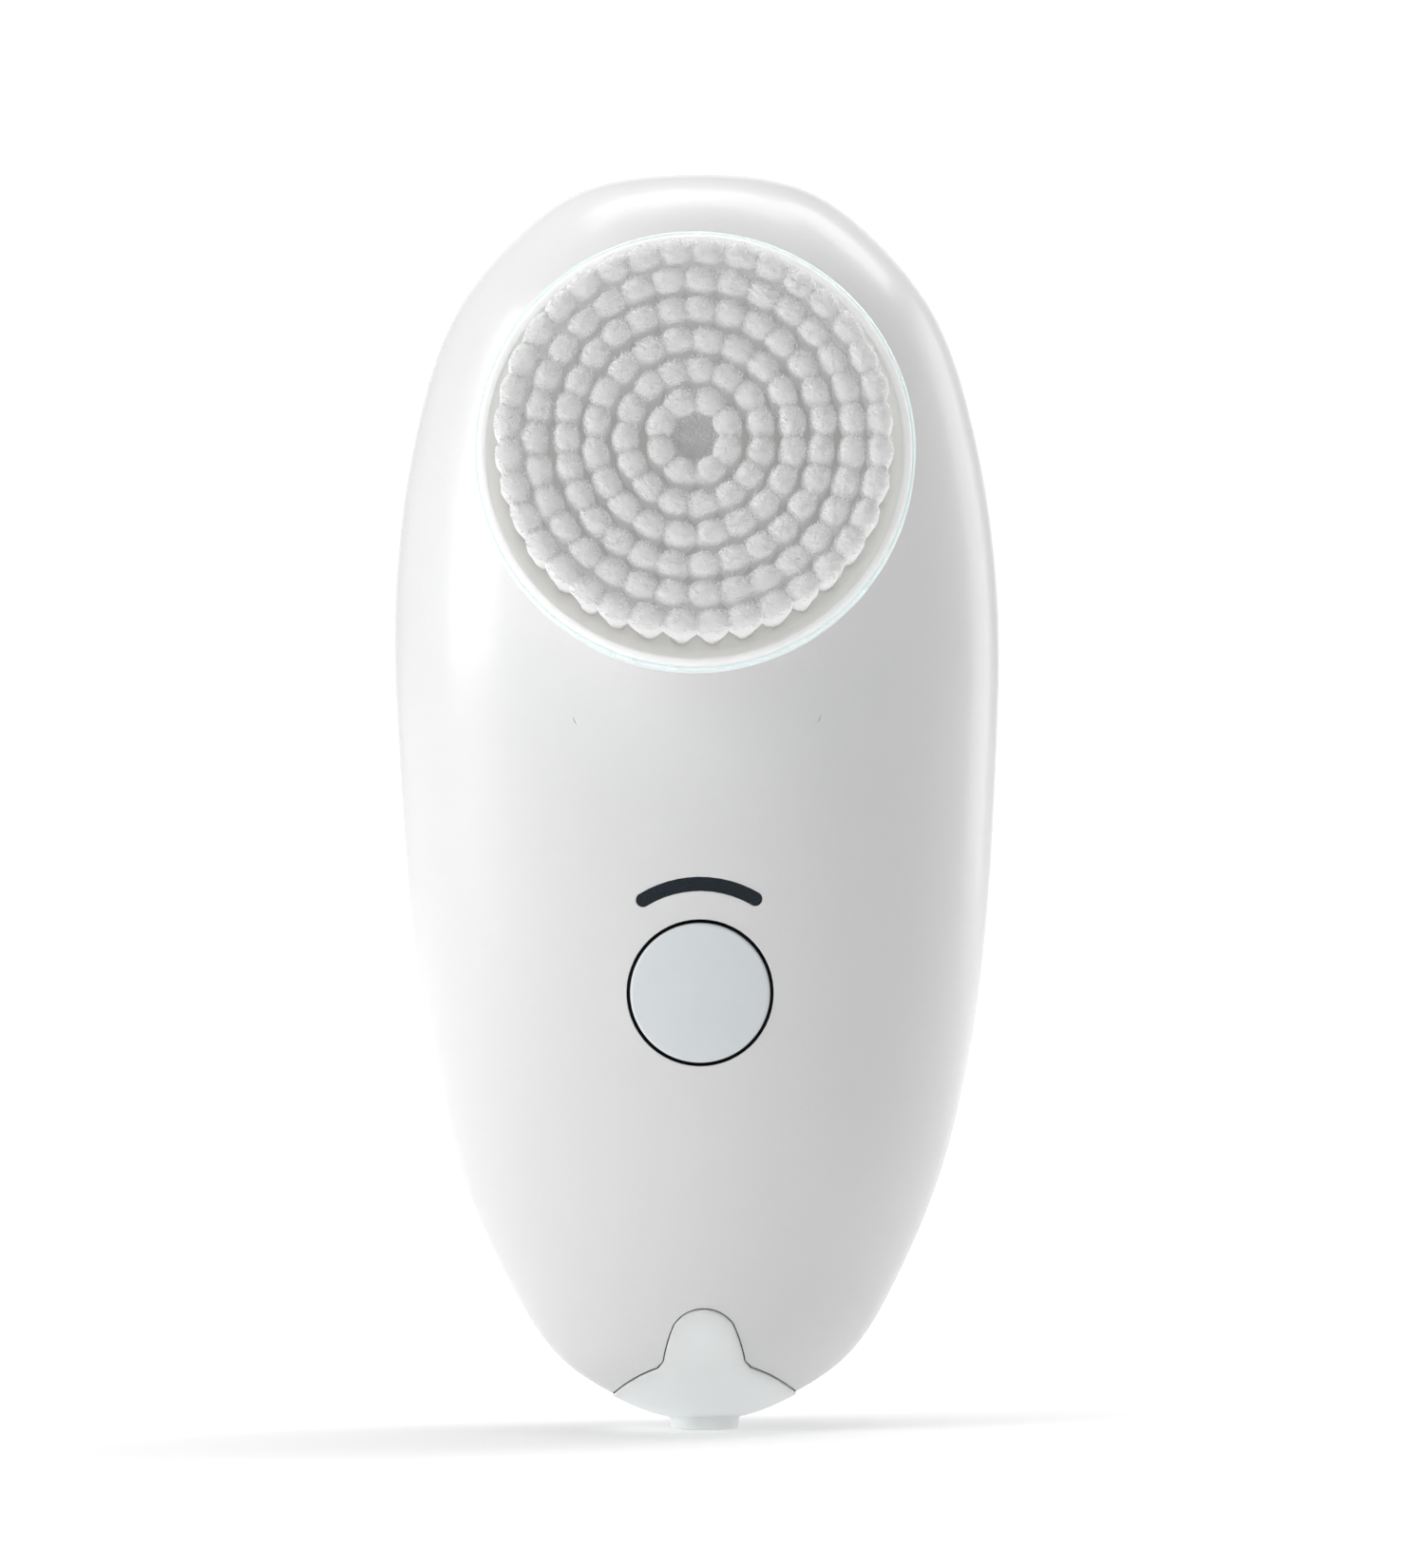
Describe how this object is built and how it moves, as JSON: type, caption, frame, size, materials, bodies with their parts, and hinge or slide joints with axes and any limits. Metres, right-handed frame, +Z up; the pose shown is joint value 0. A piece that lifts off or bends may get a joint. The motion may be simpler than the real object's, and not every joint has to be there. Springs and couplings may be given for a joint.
{
  "type": "facial cleansing brush",
  "caption": "Palm-held egg-shaped rechargeable cleansing brush with a round rotary bristle head, one push button, an arc indicator and a hinged charging plug.",
  "frame": {"origin": "middle of the flat foot under the charging plug, on which the handle stands upright", "axes": "+Z up the long axis of the handle towards the broad end, -Y out of the front where the brush head, indicator and button are, +X to the right as seen from the front"},
  "size_m": [0.0626, 0.0614, 0.13],
  "materials": {
    "shell_white": "satin-gloss white moulded ABS with a very fine grain",
    "soft_white_rubber": "soft matt silicone",
    "button_grey": "satin cool light grey",
    "black_silicone": "matt black silicone",
    "switch_black": "moulded black nylon",
    "plunger_nylon": "natural nylon",
    "smoked_window": "glossy smoked light guide, very dark blue",
    "led_lens": "clear epoxy over phosphor",
    "board_green": "green solder mask on glass-epoxy board",
    "connector_cream": "natural nylon housing",
    "zinc_steel": "zinc-plated steel",
    "shaft_steel": "ground stainless steel",
    "cell_can": null,
    "cell_sleeve": "blue heat-shrink film",
    "nickel_strip": "nickel strip",
    "cradle_grey": "grey moulded ABS",
    "ribbon_amber": "polyimide film",
    "acetal_white": "natural acetal",
    "brass": "turned brass",
    "bronze_bush": "sintered bronze",
    "end_cap_plastic": "natural nylon",
    "ferrite": "dark grey sintered ferrite",
    "rotor_copper": "laminated steel with copper windings",
    "lead_red": "silicone insulation over stranded copper",
    "cup_white": "milky white moulded polypropylene",
    "rim_clear": "thin translucent elastomer",
    "magnet_nickel": "nickel-plated magnet",
    "bristle": "off-white nylon filament bundles",
    "plug_elastomer": "light grey translucent elastomer"
  },
  "bodies": {
    "handle": {"front_shell": "shell_white", "rear_shell": "shell_white", "shell_gasket": "soft_white_rubber", "case_screws": "zinc_steel", "screw_plugs": "soft_white_rubber", "button_seal": "black_silicone", "tact_switch": "switch_black", "indicator_window": "smoked_window", "indicator_leds": "led_lens", "circuit_board": "board_green", "board_chips": "switch_black", "lead_connectors": "connector_cream", "board_screws": "zinc_steel", "battery_cell": "cell_can", "battery_sleeve": "cell_sleeve", "battery_tabs": "nickel_strip", "battery_cradle": "cradle_grey", "usb_socket": "zinc_steel", "usb_contacts": "connector_cream", "charge_board": "board_green", "charge_ribbon": "ribbon_amber", "gear_pin": "shaft_steel", "gearbox_cover": "cradle_grey", "gearbox_housing": "cradle_grey", "gearbox_screws": "zinc_steel", "shaft_bushings": "bronze_bush", "shaft_seal": "black_silicone", "motor_can": "zinc_steel", "motor_end_cap": "end_cap_plastic", "motor_terminals": "brass", "motor_magnets": "ferrite", "motor_screws": "zinc_steel", "motor_leads": "lead_red", "plug_anchor": "plug_elastomer", "plug_web": "plug_elastomer"},
    "output_drive": {"output_shaft": "shaft_steel", "output_gear": "acetal_white"},
    "idler": {"compound_gear": "acetal_white"},
    "motor_spindle": {"motor_rotor": "rotor_copper", "motor_shaft": "shaft_steel", "motor_pinion": "brass"},
    "brush_head": {"brush_cup": "cup_white", "rim_bumper": "rim_clear", "hub_magnet": "magnet_nickel", "tuft_ring_1": "bristle", "tuft_ring_2": "bristle", "tuft_ring_3": "bristle", "tuft_ring_4": "bristle", "tuft_ring_5": "bristle", "tuft_ring_6": "bristle"},
    "button": {"power_button": "button_grey", "switch_plunger": "plunger_nylon"},
    "plug": {"port_plug": "plug_elastomer"}
  },
  "joints": [
    {"name": "brush_spin", "type": "hinge", "parent": "handle", "child": "output_drive", "pos_m": [0, -0.0182, 0.1], "axis": [0, -0.9962, 0.0872], "continuous": true},
    {"name": "head_pull", "type": "slide", "parent": "output_drive", "child": "brush_head", "axis": [0, -0.9962, 0.0872], "range_m": [0, 0.014]},
    {"name": "compound_gear_spin", "type": "hinge", "parent": "handle", "child": "idler", "pos_m": [0, -0.01929, 0.08749], "axis": [0, -0.9962, 0.0872], "continuous": true},
    {"name": "motor_spin", "type": "hinge", "parent": "handle", "child": "motor_spindle", "pos_m": [0, -0.0203, 0.07597], "axis": [0, -0.9962, 0.0872], "continuous": true},
    {"name": "power_press", "type": "slide", "parent": "handle", "child": "button", "axis": [0, 1, 0], "range_m": [0, 0.0004], "stiffness_N_per_m": 1500},
    {"name": "plug_hinge", "type": "hinge", "parent": "handle", "child": "plug", "pos_m": [0, -0.00872, 0.0072], "axis": [-1, 0, 0], "range_deg": [0, 100], "deforming": ["plug_web"]}
  ],
  "couplings": [
    {"joint": "compound_gear_spin", "follows": "brush_spin", "ratio": -4},
    {"joint": "motor_spin", "follows": "brush_spin", "ratio": 14.4}
  ]
}
